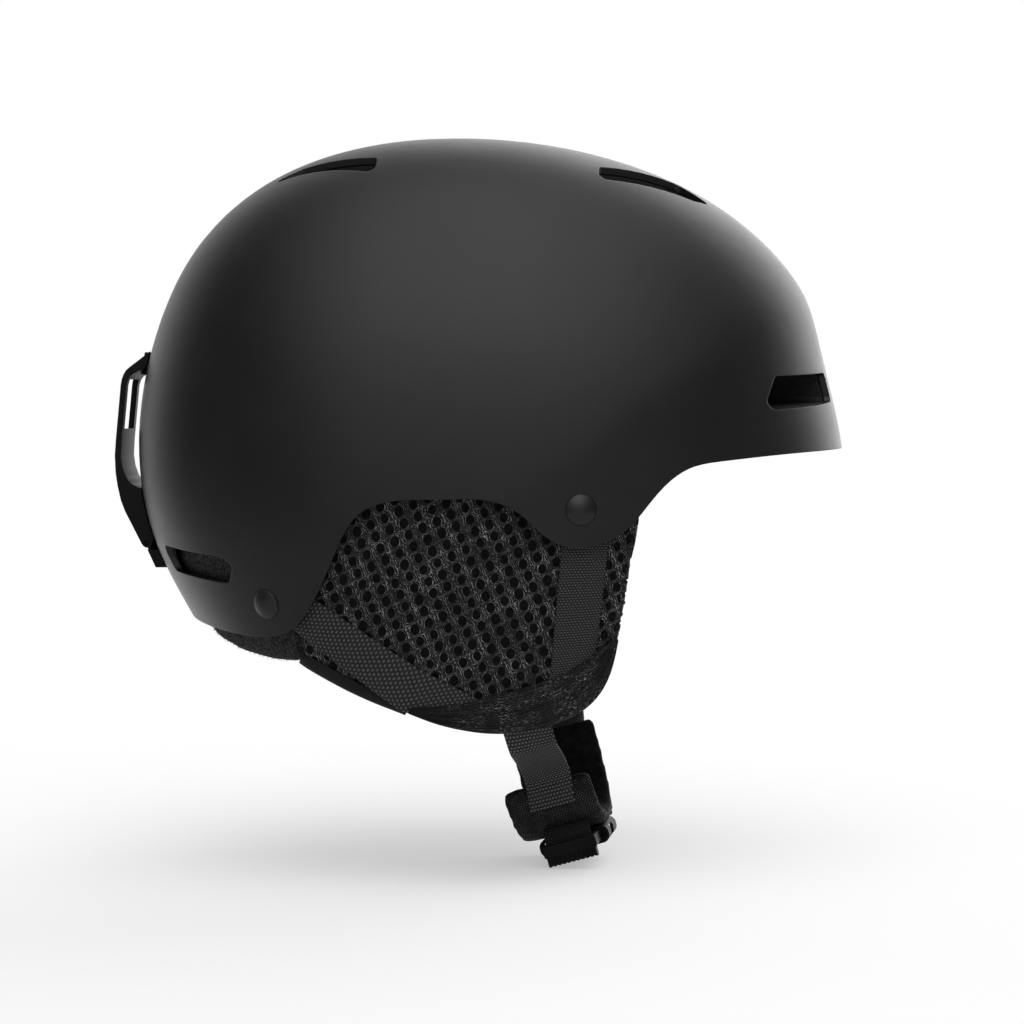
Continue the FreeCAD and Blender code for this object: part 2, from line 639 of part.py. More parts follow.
# ribbed thumb tab of the adjuster, at the near end of the male half
tab_top = mid + mh + 0.05
tab = block(male_x - size("male_length"), male_x - 12.0, 10.0, tab_top, 57.6)
tab = tab.makeFillet(1.6, [e for e in tab.Edges if abs(e.tangentAt(e.FirstParameter).y) > 0.99
                           and e.CenterOfMass.z < -57.0])
pitch = size("rib_pitch")
for k in range(-5, 5):
    groove = Part.makeCylinder(0.45, 12.0, V(male_x - size("male_length") - 3, pitch * (k + 0.5), -57.6),
                               V(1, 0, 0))
    tab = tab.cut(groove)
    wall_groove = Part.makeCylinder(0.45, 8.0, V(male_x - size("male_length"), pitch * (k + 0.5), -62.0),
                                    V(0, 0, 1))
    tab = tab.cut(wall_groove)
keep(put_chin("adjuster_tab", biggest(tab)))

# short webbing that carries the male half: out of the pad, through both adjuster slots
keep(put_chin("adjuster_web", ribbon([(-33.0, 43.2), (-35.2, 45.8), (-35.8, 50.5)], web,
                                     size("web_width"))))

# ---------------------------------------------------------------- export
doc.recompute()
names = set()
for item in nodes:
    if "Invalid" in item.State or "Error" in item.State:
        raise RuntimeError("%s is in state %s" % (item.Label, item.State))
    if item.Shape.isNull() or not item.Shape.isValid():
        raise RuntimeError("%s has a bad shape" % item.Label)
    if item.Label in names:
        raise RuntimeError("%s is there twice" % item.Label)
    names.add(item.Label)
    item.Shape.exportStep("parts/%s.step" % item.Label)
    print("%-22s %2d solid  %9.1f mm3" % (item.Label, len(item.Shape.Solids), item.Shape.Volume))
print(len(nodes), "sub-parts")
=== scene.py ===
import math
import random

import bmesh
import bpy
import numpy as np
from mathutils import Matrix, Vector
from mathutils.bvhtree import BVHTree


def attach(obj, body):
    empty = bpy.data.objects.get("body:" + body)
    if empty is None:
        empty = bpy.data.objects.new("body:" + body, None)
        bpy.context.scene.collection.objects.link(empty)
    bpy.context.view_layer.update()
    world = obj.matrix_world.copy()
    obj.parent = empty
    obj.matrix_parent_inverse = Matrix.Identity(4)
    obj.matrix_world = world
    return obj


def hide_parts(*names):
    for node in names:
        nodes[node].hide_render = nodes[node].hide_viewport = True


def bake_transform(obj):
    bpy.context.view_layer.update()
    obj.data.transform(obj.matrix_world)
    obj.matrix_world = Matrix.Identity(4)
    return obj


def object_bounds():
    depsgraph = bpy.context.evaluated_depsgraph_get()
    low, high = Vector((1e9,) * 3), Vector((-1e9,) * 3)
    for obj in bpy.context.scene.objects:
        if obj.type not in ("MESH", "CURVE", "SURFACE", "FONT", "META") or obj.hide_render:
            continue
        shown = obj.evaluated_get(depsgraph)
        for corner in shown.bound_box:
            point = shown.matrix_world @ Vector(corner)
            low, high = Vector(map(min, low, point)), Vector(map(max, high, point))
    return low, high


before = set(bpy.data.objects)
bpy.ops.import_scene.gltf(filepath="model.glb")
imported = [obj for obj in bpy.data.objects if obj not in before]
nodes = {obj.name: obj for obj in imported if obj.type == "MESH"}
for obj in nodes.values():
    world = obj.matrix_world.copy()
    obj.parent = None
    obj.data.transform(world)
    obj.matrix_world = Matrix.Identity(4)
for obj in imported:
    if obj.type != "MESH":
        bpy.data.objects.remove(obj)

MM = 0.001
cad_low, cad_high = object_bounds()
scene = bpy.context.scene
SIDES = (("right", -1.0), ("left", 1.0))

CAMERA_PLACE = (-1.3779, -0.0446, 0.0810)
CAMERA_AIM = (0.0, -0.0085, 0.0357)
CAMERA_SENSOR = 36.0
CAMERA_LENS = 119.53

# ------------------------------------------------------------------ sizes in millimetres
WEB_WIDE = 17.6
WEB_THICK = 1.45
FIBRE_SUNK = 0.2
HOLE_POINTS = 16
HOLE_STEPS = ((5.3, -2.53), (-1.84, -4.37))
HOLE_START = (4.0, 5.0)
HOLE_HALF = (1.55, 1.95)
NET_ROLL = 6.5
NET_RISE = 0.45
BIND_START = 29.0
BIND_RADIUS = 4.6
BIND_ABOVE = 3.8
BIND_WRAP = 2.3
ROLL_FORWARD = 7.5
CHIN_PAD_WIDER = 2.8

# ------------------------------------------------------------------ camera
camera = bpy.data.objects.new("camera", bpy.data.cameras.new("camera"))
scene.collection.objects.link(camera)
scene.camera = camera
camera.data.sensor_width = CAMERA_SENSOR
camera.data.lens = CAMERA_LENS
camera.data.clip_start = 0.05
camera.data.clip_end = 60.0
camera.location = CAMERA_PLACE
aim = Vector(CAMERA_AIM) - camera.location
camera.rotation_mode = "QUATERNION"
camera.rotation_quaternion = aim.to_track_quat("-Z", "Y")

scene.view_settings.view_transform = "Standard"
scene.view_settings.look = "None"


# ------------------------------------------------------------------ node helper
class Maker:
    """Short calls for building a node tree."""

    def __init__(self, tree):
        self.tree = tree
        self.nodes = tree.nodes

    def add(self, kind, **props):
        node = self.nodes.new(kind)
        for key, value in props.items():
            setattr(node, key, value)
        return node

    def plug(self, socket, value):
        if isinstance(value, bpy.types.NodeSocket):
            self.tree.links.new(value, socket)
        else:
            socket.default_value = value

    def math(self, operation, a, b=0.0, c=0.0, clamp=False):
        node = self.add("ShaderNodeMath", operation=operation, use_clamp=clamp)
        for socket, value in zip(node.inputs, (a, b, c)):
            self.plug(socket, value)
        return node.outputs[0]

    def vector(self, operation, a, b=(0, 0, 0)):
        node = self.add("ShaderNodeVectorMath", operation=operation)
        self.plug(node.inputs[0], a)
        self.plug(node.inputs[1], b)
        return node.outputs[0]

    def split(self, vector):
        node = self.add("ShaderNodeSeparateXYZ")
        self.plug(node.inputs[0], vector)
        return node.outputs

    def noise(self, vector, scale, detail=2.0, rough=0.5, warp=0.0):
        node = self.add("ShaderNodeTexNoise")
        self.plug(node.inputs["Vector"], vector)
        node.inputs["Scale"].default_value = scale
        node.inputs["Detail"].default_value = detail
        node.inputs["Roughness"].default_value = rough
        node.inputs["Distortion"].default_value = warp
        return node.outputs[0]

    def voronoi(self, vector, scale, feature="F1", random_=1.0):
        node = self.add("ShaderNodeTexVoronoi", feature=feature)
        self.plug(node.inputs["Vector"], vector)
        node.inputs["Scale"].default_value = scale
        node.inputs["Randomness"].default_value = random_
        return node

    def remap(self, value, low, high, to_low=0.0, to_high=1.0, smooth=True):
        node = self.add("ShaderNodeMapRange", clamp=True)
        node.interpolation_type = "SMOOTHSTEP" if smooth else "LINEAR"
        for socket, item in zip(node.inputs, (value, low, high, to_low, to_high)):
            self.plug(socket, item)
        return node.outputs[0]

    def ramp(self, value, stops):
        node = self.add("ShaderNodeValToRGB")
        self.plug(node.inputs[0], value)
        while len(node.color_ramp.elements) < len(stops):
            node.color_ramp.elements.new(0.5)
        for element, (place, tone) in zip(node.color_ramp.elements, stops):
            element.position = place
            colour = tone if hasattr(tone, "__len__") else (tone, tone, tone)
            element.color = (*colour, 1.0)
        return node.outputs[0]

    def bump(self, height, distance, strength=1.0, normal=None):
        node = self.add("ShaderNodeBump")
        node.inputs["Strength"].default_value = strength
        node.inputs["Distance"].default_value = distance
        self.plug(node.inputs["Height"], height)
        if normal is not None:
            self.plug(node.inputs["Normal"], normal)
        return node.outputs[0]


class Finish(Maker):
    """A principled material with its own coordinates."""

    def __init__(self, name, rough=0.6, **sockets):
        self.material = bpy.data.materials.new(name)
        self.material.use_nodes = True
        super().__init__(self.material.node_tree)
        self.shader = self.nodes["Principled BSDF"]
        self.shader.inputs["Roughness"].default_value = rough
        for key, value in sockets.items():
            self.shader.inputs[key.replace("_", " ")].default_value = value
        where = self.add("ShaderNodeTexCoord")
        self.object = where.outputs["Object"]
        self.uv = where.outputs["UV"]

    def set(self, key, value):
        self.plug(self.shader.inputs[key], value)

    def edge(self, radius):
        node = self.add("ShaderNodeBevel", samples=6)
        node.inputs["Radius"].default_value = radius
        return node.outputs[0]


def plastic(name, dark, light, rough, grain, bevel, shine=0.5, spread=0.05, lump=0.00003):
    """Moulded plastic: faint tone drift, fine grain, softened edges."""
    f = Finish(name, rough)
    f.set("Specular IOR Level", shine)
    drift = f.noise(f.object, 35.0, 3.0)
    f.set("Base Color", f.ramp(drift, [(0.3, dark), (0.7, light)]))
    fine = f.noise(f.object, grain, 3.0, 0.6)
    f.set("Roughness", f.remap(f.math("ADD", f.math("MULTIPLY", fine, 0.7), f.math("MULTIPLY", drift, 0.3)),
                               0.3, 0.7, rough - spread, rough + spread))
    f.set("Normal", f.bump(fine, lump, 0.6, f.edge(bevel)))
    return f.material


def fleece(name, dark, light, scale=900.0, height=0.0005):
    """Short-pile fleece: clumps, fine fibres and a soft sheen."""
    f = Finish(name, 0.95, Sheen_Weight=0.03, Sheen_Roughness=0.6)
    f.set("Specular IOR Level", 0.1)
    clump = f.noise(f.object, scale * 0.35, 3.0, 0.6, 0.4)
    fibre = f.noise(f.object, scale * 1.6, 4.0, 0.7, 1.2)
    both = f.math("ADD", f.math("MULTIPLY", clump, 0.6), f.math("MULTIPLY", fibre, 0.4))
    f.set("Base Color", f.ramp(both, [(0.42, dark), (0.62, light)]))
    f.set("Normal", f.bump(both, height, 0.9))
    return f.material


def webbing(name, along, across, dark, light, even=0.55, shape=(0.40, 0.45)):
    """Flat woven strap: staggered floats over a dark ground. The UV map is in millimetres."""
    f = Finish(name, 0.62)
    f.set("Specular IOR Level", 0.25)
    u, v, _ = f.split(f.uv)
    wobble = f.noise(f.uv, 0.9, 1.0)
    row = f.math("DIVIDE", u, along)
    turn = f.math("MULTIPLY", f.math("MODULO", f.math("FLOOR", row), 2.0), 0.5)
    column = f.math("ADD", f.math("DIVIDE", v, across), turn)
    a = f.math("SUBTRACT", f.math("FRACT", row), 0.5)
    b = f.math("SUBTRACT", f.math("FRACT", column), 0.5)
    far = f.math("SQRT", f.math("ADD", f.math("POWER", f.math("DIVIDE", a, shape[0]), 2.0),
                                f.math("POWER", f.math("DIVIDE", b, shape[1]), 2.0)))
    dot = f.remap(far, 1.05, 0.35)
    thread = f.noise(f.vector("MULTIPLY", f.uv, (9.0, 2.2, 1.0)), 1.0, 2.0)
    uneven = f.math("ADD", thread, f.math("MULTIPLY", wobble, 0.5))
    tone = f.math("MULTIPLY", dot, f.remap(uneven, 0.45, 1.0, even, 1.0))
    f.set("Base Color", f.ramp(tone, [(0.0, dark), (0.45, light * 0.45), (1.0, light)]))
    f.set("Roughness", f.remap(dot, 0.0, 1.0, 0.8, 0.5))
    f.set("Normal", f.bump(f.math("ADD", dot, f.math("MULTIPLY", thread, 0.15)), 0.00035, 0.9))
    return f.material


def metal(name, colour, rough):
    f = Finish(name, rough, Metallic=1.0)
    brush = f.noise(f.vector("MULTIPLY", f.object, (300.0, 300.0, 4000.0)), 1.0, 3.0)
    f.set("Base Color", f.ramp(brush, [(0.3, colour * 0.8), (0.7, colour)]))
    f.set("Roughness", f.remap(brush, 0.3, 0.7, rough - 0.08, rough + 0.08))
    f.set("Normal", f.bump(brush, 0.00002, 0.5, f.edge(0.0002)))
    return f.material


def foam(name):
    """Black expanded bead foam: pressed beads with thin dark seams."""
    f = Finish(name, 0.7)
    beads = f.voronoi(f.object, 420.0, "DISTANCE_TO_EDGE")
    seam = f.remap(beads.outputs["Distance"], 0.0, 0.09)
    drift = f.noise(f.object, 60.0, 2.0)
    tone = f.math("MULTIPLY", seam, f.remap(drift, 0.3, 0.7, 0.7, 1.0))
    f.set("Base Color", f.ramp(tone, [(0.0, 0.002), (1.0, 0.008)]))
    f.set("Normal", f.bump(seam, 0.0002, 0.5))
    return f.material


def knit_net(name):
    """Spacer mesh: pale broken loops of yarn round each hole, over a near-black ground."""
    f = Finish(name, 0.75)
    f.set("Specular IOR Level", 0.12)
    u, v, _ = f.split(f.uv)
    warp = f.noise(f.object, 520.0, 2.0, 0.5)
    bent = f.math("ADD", v, f.math("MULTIPLY", f.math("SUBTRACT", warp, 0.5), 0.7))
    rings = f.math("SINE", f.math("MULTIPLY", bent, 16.0))
    line = f.remap(rings, 0.45, 0.98)
    gate = f.noise(f.object, 700.0, 2.0, 0.6, 0.5)
    strokes = f.math("MULTIPLY", line, f.remap(gate, 0.41, 0.54))
    cross = f.voronoi(f.object, 1050.0, "DISTANCE_TO_EDGE")
    fine = f.math("MULTIPLY", f.remap(cross.outputs["Distance"], 0.10, 0.02), f.remap(gate, 0.50, 0.40))
    yarn = f.math("MAXIMUM", strokes, f.math("MULTIPLY", fine, 0.5))
    patch = f.remap(f.noise(f.object, 130.0, 2.0), 0.35, 0.65, 0.6, 1.0)
    yarn = f.math("ADD", f.math("MULTIPLY", f.math("MULTIPLY", yarn, patch), 0.85), 0.15)
    # painted shade: the yarn goes dark on the two sunk inner rings of each hole, full again from the third
    # ring at the lip
    yarn = f.math("MULTIPLY", yarn, f.remap(v, 0.06, 0.2))
    f.set("Base Color", f.ramp(yarn, [(0.0, 0.0015), (0.15, 0.011), (0.4, 0.04), (0.7, 0.16), (1.0, 0.38)]))
    f.set("Roughness", f.remap(yarn, 0.0, 1.0, 0.9, 0.5))
    f.set("Normal", f.bump(yarn, 0.0004, 0.9))
    return f.material


def stretch_knit(name, light=0.42):
    """Stretched jersey: long dark ribs along the pull with broken pale threads. UV in millimetres."""
    f = Finish(name, 0.75)
    f.set("Specular IOR Level", 0.15)
    u, v, _ = f.split(f.uv)
    wave = f.noise(f.vector("MULTIPLY", f.uv, (0.05, 0.25, 1.0)), 1.0, 2.0)
    lane = f.math("ADD", f.math("MULTIPLY", v, 1.15), f.math("MULTIPLY", wave, 5.0))
    ribs = f.math("SINE", f.math("MULTIPLY", lane, 2 * math.pi))
    broken = f.noise(f.vector("MULTIPLY", f.uv, (0.7, 4.4, 1.0)), 1.0, 3.0, 0.6, 0.4)
    loops = f.noise(f.vector("MULTIPLY", f.uv, (3.0, 3.8, 1.0)), 1.0, 2.0, 0.6, 1.0)
    patch = f.noise(f.vector("MULTIPLY", f.uv, (0.09, 0.16, 1.0)), 1.0, 1.0)
    thread = f.math("MULTIPLY", f.remap(broken, 0.54, 0.66), f.remap(patch, 0.35, 0.6, 0.2, 1.0))
    speck = f.math("MULTIPLY", f.remap(loops, 0.61, 0.74), f.remap(patch, 0.4, 0.6, 0.35, 0.9))
    # painted shade: the pale threads darken towards the sleeve's rear tip, over its first 5 to 24 mm along
    tone = f.math("MULTIPLY", f.math("MAXIMUM", thread, speck), f.remap(u, 5.0, 24.0, 0.12, 1.0))
    tone = f.math("ADD", tone, f.math("MULTIPLY", f.remap(ribs, -1.0, 1.0), 0.12))
    f.set("Base Color", f.ramp(tone, [(0.0, 0.006), (0.3, 0.028), (1.0, light)]))
    f.set("Normal", f.bump(f.math("ADD", f.math("MULTIPLY", ribs, 0.35), tone), 0.0004, 0.9))
    return f.material


def fine_knit(name, turn, light=0.16):
    """Small jersey loops in rows, for padded covers. Coordinates follow the object, turned."""
    f = Finish(name, 0.8)
    f.set("Specular IOR Level", 0.15)
    mapping = f.add("ShaderNodeMapping")
    f.plug(mapping.inputs["Vector"], f.object)
    mapping.inputs["Rotation"].default_value = turn
    mapping.inputs["Scale"].default_value = (1000.0, 1000.0, 1000.0)
    x, y, z = f.split(mapping.outputs[0])
    row = f.math("DIVIDE", z, 0.9)
    turned = f.math("MULTIPLY", f.math("MODULO", f.math("ABSOLUTE", f.math("FLOOR", row)), 2.0), 0.5)
    column = f.math("ADD", f.math("DIVIDE", y, 1.1), turned)
    a = f.math("SUBTRACT", f.math("FRACT", row), 0.5)
    b = f.math("SUBTRACT", f.math("FRACT", column), 0.5)
    far = f.math("SQRT", f.math("ADD", f.math("POWER", f.math("DIVIDE", a, 0.42), 2.0),
                                f.math("POWER", f.math("DIVIDE", b, 0.36), 2.0)))
    dot = f.remap(far, 1.0, 0.3)
    grain = f.noise(f.object, 1500.0, 2.0)
    gate = f.noise(f.object, 260.0, 2.0, 0.5)
    tone = f.math("MULTIPLY", dot, f.remap(f.math("MULTIPLY", grain, gate), 0.16, 0.36, 0.25, 1.0))
    f.set("Base Color", f.ramp(tone, [(0.0, 0.006), (0.5, light * 0.4), (1.0, light)]))
    f.set("Normal", f.bump(f.math("ADD", dot, f.math("MULTIPLY", grain, 0.4)), 0.0003, 0.9))
    return f.material


SHELL = plastic("shell_black", 0.0050, 0.0070, 0.42, 2600.0, 0.0007)
RIVET = plastic("rivet_black", 0.008, 0.012, 0.40, 1800.0, 0.0004)
RETAINER = plastic("retainer_black", 0.005, 0.008, 0.50, 2200.0, 0.0004, 0.14)
BUCKLE = plastic("buckle_black", 0.004, 0.007, 0.55, 2400.0, 0.0003, 0.08)
TAPE = plastic("binding_black", 0.007, 0.014, 0.70, 900.0, 0.0003, 0.2)
STEEL = metal("washer_steel", 0.55, 0.35)
FOAM = foam("liner_black")
COMFORT = fleece("comfort_fleece", 0.006, 0.022)
ROLL = fleece("roll_fleece", 0.003, 0.055, 2600.0)
LINING = fleece("lining_fleece", 0.004, 0.016)
VELVET = fleece("chin_fleece", 0.002, 0.009)
NET = knit_net("ear_mesh")
PAD_BASE = fleece("ear_mesh_ground", 0.0015, 0.005, 1400.0)
WEB = webbing("webbing_fine", 1.0, 1.35, 0.012, 0.105)
WEB_REAR = webbing("webbing_wide", 1.4, 2.0, 0.016, 0.085, 0.9, (0.46, 0.38))
WEB_LOWER = webbing("webbing_lower", 1.6, 1.35, 0.012, 0.115)
WEB_DARK = webbing("webbing_dark", 1.0, 1.35, 0.005, 0.022)
SLEEVE = stretch_knit("sleeve_knit", 0.34)

HARD = {
    "outer_shell": SHELL, "eps_liner": FOAM, "goggle_retainer": RETAINER, "retainer_anchor": RETAINER,
    "retainer_pin": RETAINER, "retainer_catch": RETAINER, "buckle_female": BUCKLE, "buckle_male": BUCKLE,
    "buckle_prong_front": BUCKLE, "buckle_prong_rear": BUCKLE, "adjuster_tab": BUCKLE,
}
for place in ("front", "rear"):
    for side_name, side in SIDES:
        HARD["rivet_%s_%s" % (place, side_name)] = RIVET
        HARD["washer_%s_%s" % (place, side_name)] = STEEL


def dress(item, material):
    item.data.materials.clear()
    item.data.materials.append(material)


for name, material in HARD.items():
    item = nodes[name]
    for index in range(max(1, len(item.material_slots))):
        if item.material_slots:
            item.material_slots[index].link = "OBJECT"
            item.material_slots[index].material = material


# ------------------------------------------------------------------ mesh helpers
def piece(name, points, faces, material, smooth=True):
    data = bpy.data.meshes.new(name)
    data.from_pydata([tuple(p) for p in points], [], faces)
    data.validate()
    data.update()
    item = bpy.data.objects.new(name, data)
    scene.collection.objects.link(item)
    dress(item, material)
    if smooth:
        data.polygons.foreach_set("use_smooth", [True] * len(data.polygons))
    return item


def tree_of(item):
    depsgraph = bpy.context.evaluated_depsgraph_get()
    return BVHTree.FromObject(item, depsgraph)


def node_tree_of(name):
    data = nodes[name].data
    points = [v.co[:] for v in data.vertices]
    return BVHTree.FromPolygons(points, [p.vertices[:] for p in data.polygons])


def apply_all(item):
    """Replace the mesh by what its modifiers make of it."""
    depsgraph = bpy.context.evaluated_depsgraph_get()
    data = bpy.data.meshes.new_from_object(item.evaluated_get(depsgraph))
    old = item.data
    item.modifiers.clear()
    item.data = data
    bpy.data.meshes.remove(old)


def coords(item):
    flat = np.zeros(len(item.data.vertices) * 3)
    item.data.vertices.foreach_get("co", flat)
    return flat.reshape(-1, 3)


def set_coords(item, points):
    item.data.vertices.foreach_set("co", np.asarray(points, float).ravel())
    item.data.update()


def puffed(name, node, material, voxel=4.0, shrink=1.2, cap=1.6, pressure=4.0, soften=6, subdivide=1):
    """A cloth-simulated pad grown from a CAD solid: remeshed, drawn in, swollen and capped."""
    item = bpy.data.objects.new(name, nodes[node].data.copy())
    scene.collection.objects.link(item)
    remesh = item.modifiers.new("remesh", "REMESH")
    remesh.mode = "VOXEL"
    remesh.voxel_size = voxel * MM
    apply_all(item)
    smooth = item.modifiers.new("smooth", "SMOOTH")
    smooth.iterations = soften
    smooth.factor = 0.5
    apply_all(item)
    normals = np.zeros(len(item.data.vertices) * 3)
    item.data.vertices.foreach_get("normal", normals)
    start = coords(item) - normals.reshape(-1, 3) * shrink * MM
    set_coords(item, start)
    cloth = item.modifiers.new("cloth", "CLOTH")
    cloth.settings.use_pressure = True
    cloth.settings.uniform_pressure_force = pressure
    cloth.settings.effector_weights.gravity = 0.0
    cloth.settings.quality = 4
    for number in range(1, 21):
        scene.frame_set(number)
    depsgraph = bpy.context.evaluated_depsgraph_get()
    blown = bpy.data.meshes.new_from_object(item.evaluated_get(depsgraph))
    flat = np.zeros(len(blown.vertices) * 3)
    blown.vertices.foreach_get("co", flat)
    moved = flat.reshape(-1, 3) - start
    length = np.linalg.norm(moved, axis=1, keepdims=True)
    item.modifiers.clear()
    scene.frame_set(1)
    bpy.data.meshes.remove(blown)
    set_coords(item, start + moved * np.minimum(1.0, cap * MM / np.maximum(length, 1e-9)))
    if subdivide:
        division = item.modifiers.new("subdivision", "SUBSURF")
        division.levels = subdivide
        division.render_levels = subdivide
        apply_all(item)
    dress(item, material)
    item.data.polygons.foreach_set("use_smooth", [True] * len(item.data.polygons))
    return item


def other_side(item, name):
    """Mirror copy of a finished piece across X."""
    data = item.data.copy()
    twin = bpy.data.objects.new(name, data)
    scene.collection.objects.link(twin)
    set_coords(twin, coords(twin) * np.array((-1.0, 1.0, 1.0)))
    data.flip_normals()
    return twin


def spline(points, count):
    """Smooth curve through a few points (natural cubic, chord-length), sampled evenly."""
    p = np.asarray(points, float)
    t = np.concatenate(([0.0], np.cumsum(np.linalg.norm(np.diff(p, axis=0), axis=1))))
    n = len(p)
    h = np.diff(t)
    a = np.zeros((n, n))
    r = np.zeros((n, p.shape[1]))
    a[0, 0] = a[-1, -1] = 1.0
    for k in range(1, n - 1):
        a[k, k - 1] = h[k - 1]
        a[k, k] = 2 * (h[k - 1] + h[k])
        a[k, k + 1] = h[k]
        r[k] = 6 * ((p[k + 1] - p[k]) / h[k] - (p[k] - p[k - 1]) / h[k - 1])
    m = np.linalg.solve(a, r)

    def at(x):
        k = np.clip(np.searchsorted(t, x, side="right") - 1, 0, n - 2)
        d = (x - t[k])[:, None]
        e = (t[k + 1] - x)[:, None]
        w = h[k][:, None]
        return ((m[k] * e ** 3 + m[k + 1] * d ** 3) / (6 * w) + (p[k] / w - m[k] * w / 6) * e
                + (p[k + 1] / w - m[k + 1] * w / 6) * d)

    dense = at(np.linspace(0, t[-1], 400))
    run = np.concatenate(([0.0], np.cumsum(np.linalg.norm(np.diff(dense, axis=0), axis=1))))
    where = np.interp(np.linspace(0, run[-1], count), run, np.linspace(0, t[-1], 400))
    return at(where)


def bent(points, count):
    """Evenly spaced points along straight runs."""
    p = np.asarray(points, float)
    run = np.concatenate(([0.0], np.cumsum(np.linalg.norm(np.diff(p, axis=0), axis=1))))
    where = np.linspace(0, run[-1], count)
    return np.stack([np.interp(where, run, p[:, k]) for k in range(p.shape[1])], axis=1)


def grid_normals(grid):
    along = np.gradient(grid, axis=0)
    across = np.gradient(grid, axis=1)
    n = np.cross(along, across)
    return n / np.maximum(np.linalg.norm(n, axis=2, keepdims=True), 1e-12)


def band(name, grid, thick, material, out=None, ends=True):
    """Closed strap round a grid of mid-surface points (metres), rounded at its selvedges.
    The UV map is in millimetres: along, across."""
    rows, columns = grid.shape[:2]
    n = grid_normals(grid)
    if out is not None and (n * out).sum() < 0:
        n = -n
    half = thick / 2
    steps = np.zeros((rows, columns))
    steps[1:] = np.cumsum(np.linalg.norm(np.diff(grid, axis=0), axis=2), axis=0)
    wide = np.zeros((rows, columns))
    wide[:, 1:] = np.cumsum(np.linalg.norm(np.diff(grid, axis=1), axis=2), axis=1)
    steps = np.repeat(steps.mean(axis=1, keepdims=True), columns, axis=1)
    wide = np.repeat(wide.mean(axis=0, keepdims=True), rows, axis=0)
    edge = np.ones(columns)
    edge[0] = edge[-1] = 0.45
    edge[1] = edge[-2] = 0.9
    top = grid + n * half * edge[None, :, None]
    low = grid - n * half * edge[None, :, None]
    side_a = grid[:, :1] - (grid[:, 1:2] - grid[:, :1]) * 0.35
    side_b = grid[:, -1:] - (grid[:, -2:-1] - grid[:, -1:]) * 0.35
    loop = np.concatenate([top, side_b, low[:, ::-1], side_a], axis=1)
    across = np.concatenate([wide, wide[:, -1:], wide[:, ::-1], wide[:, :1]], axis=1)
    along = np.concatenate([steps, steps[:, -1:], steps[:, ::-1], steps[:, :1]], axis=1)
    count = loop.shape[1]
    faces = []
    for i in range(rows - 1):
        for j in range(count):
            k = (j + 1) % count
            faces.append((i * count + j, i * count + k, (i + 1) * count + k, (i + 1) * count + j))
    if ends:
        faces.append(tuple(range(count))[::-1])
        faces.append(tuple((rows - 1) * count + j for j in range(count)))
    item = piece(name, loop.reshape(-1, 3), faces, material)
    layer = item.data.uv_layers.new(name="mm")
    u = along.reshape(-1) * 1000
    v = across.reshape(-1) * 1000
    for corner in item.data.loops:
        index = corner.vertex_index
        layer.data[corner.index].uv = (u[index], v[index])
    mesh = bmesh.new()
    mesh.from_mesh(item.data)
    bmesh.ops.recalc_face_normals(mesh, faces=mesh.faces)
    mesh.to_mesh(item.data)
    mesh.free()
    return item


def hit_side(tree, y, z, side, fallback=True):
    """Where a line along X from outside first meets a surface (millimetres in, metres out)."""
    start = Vector((side * 0.2, y * MM, z * MM))
    place, normal, _, _ = tree.ray_cast(start, Vector((-side, 0, 0)))
    if place is None and fallback:
        place, normal, _, _ = tree.find_nearest(Vector((side * 0.095, y * MM, z * MM)))
    return place, normal


def fuzz(name, source, count, length, material, keep=None, width=0.09, seed=1):
    """Loose fibres standing on a surface, as thin bent slivers."""
    chance = random.Random(seed)
    data = source.data
    data.calc_loop_triangles()
    triangles = [t for t in data.loop_triangles if keep is None or keep(data, t)]
    sizes = np.cumsum([t.area for t in triangles])
    points = []
    faces = []
    for _ in range(count):
        t = triangles[min(int(np.searchsorted(sizes, chance.random() * sizes[-1])), len(triangles) - 1)]
        a, b, c = (data.vertices[k].co for k in t.vertices)
        r1, r2 = chance.random(), chance.random()
        if r1 + r2 > 1:
            r1, r2 = 1 - r1, 1 - r2
        root = a + (b - a) * r1 + (c - a) * r2
        n = Vector(t.normal)
        spread = Vector((chance.gauss(0, 1), chance.gauss(0, 1), chance.gauss(0, 1)))
        way = (n + spread * 0.55).normalized()
        tall = length * MM * chance.uniform(0.4, 1.0)
        flat = way.cross(Vector((chance.gauss(0, 1), chance.gauss(0, 1), chance.gauss(0, 1)))).normalized()
        wide = flat * width * MM
        middle = root + way * tall * 0.55
        tip = middle + (way + spread * 0.5).normalized() * tall * 0.5
        k = len(points)
        sunk = root - n * FIBRE_SUNK * MM
        points += [sunk - wide, sunk + wide, middle + wide * 0.8, middle - wide * 0.8, tip]
        faces += [(k, k + 1, k + 2, k + 3), (k + 3, k + 2, k + 4)]
    return piece(name, points, faces, material)


# ------------------------------------------------------------------ outlines shared with the solid model
EAR_EDGE = [(-60.7, 52.5), (-60.4, 38.9), (-58.2, 26.9), (-56.1, 13.3), (-54.1, 0.0), (-51.3, -13.5),
            (-47.2, -27.6), (-40.2, -36.7), (-26.7, -43.3), (-13.5, -45.5), (5.3, -44.1),
            (19.2, -39.7), (48.6, -27.8), (69.9, -17.0)]
FRONT_RAILS = ([(-48.3, 47.5), (-47.4, 26.1), (-42.4, -19.6), (-34.8, -37.5)],
               [(-29.7, 48.2), (-30.1, 26.2), (-25.8, -23.6), (-17.9, -39.2)])
REAR_RAILS = ([(80.6, 16.8), (61.6, 4.1), (23.6, -20.5), (-7.4, -36.8)],
              [(89.7, 8.2), (71.3, -6.8), (30.7, -36.8), (-1.9, -43.5)])
SLEEVE_TOP = [(29.8, -36.4), (13.6, -34.5), (-7.3, -30.7), (-24.4, -25.7), (-41.3, -16.6), (-51.6, -8.0)]
SLEEVE_LOW = [(29.8, -36.4), (19.7, -40.9), (5.8, -45.1), (-13.1, -46.7), (-26.4, -44.2), (-40.2, -37.5),
              (-47.3, -27.9), (-51.6, -8.0)]
